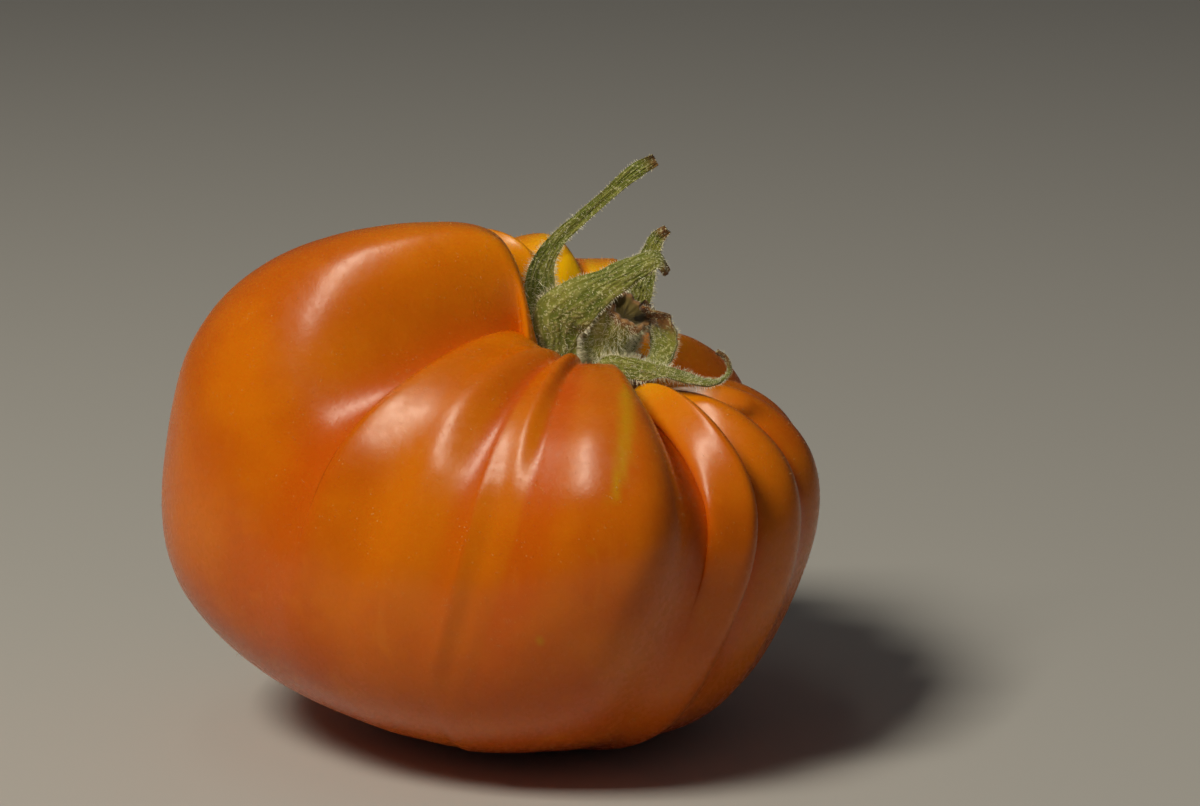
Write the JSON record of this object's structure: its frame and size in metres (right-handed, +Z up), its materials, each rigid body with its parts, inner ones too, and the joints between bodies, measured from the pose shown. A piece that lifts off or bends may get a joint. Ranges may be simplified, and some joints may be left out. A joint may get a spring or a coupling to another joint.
{
  "type": "ribbed beefsteak tomato",
  "caption": "Ripe orange beefsteak tomato with deep uneven lobes, a dried green calyx of curled sepals and a short stub of stem, resting on a small flat spot.",
  "frame": {"origin": "on the resting spot, in the plane that the fruit rests on, straight below its centre of mass", "axes": "+Z up, -Y towards the broad front lobes, +X towards the low side that the stem leans to"},
  "size_m": [0.0947, 0.0899, 0.0843],
  "materials": {
    "skin": "smooth waxy orange skin, redder in the grooves, with pale pinpoints and a fine down",
    "sepal_green": "matt ribbed leaf with pale fuzz, drying to brown at the tips and edges",
    "stem_green": "matt fuzzy stem with a dry brown broken rim"
  },
  "bodies": {
    "root": {"fruit": "skin", "calyx": "sepal_green", "stem_stub": "stem_green"}
  },
  "joints": []
}
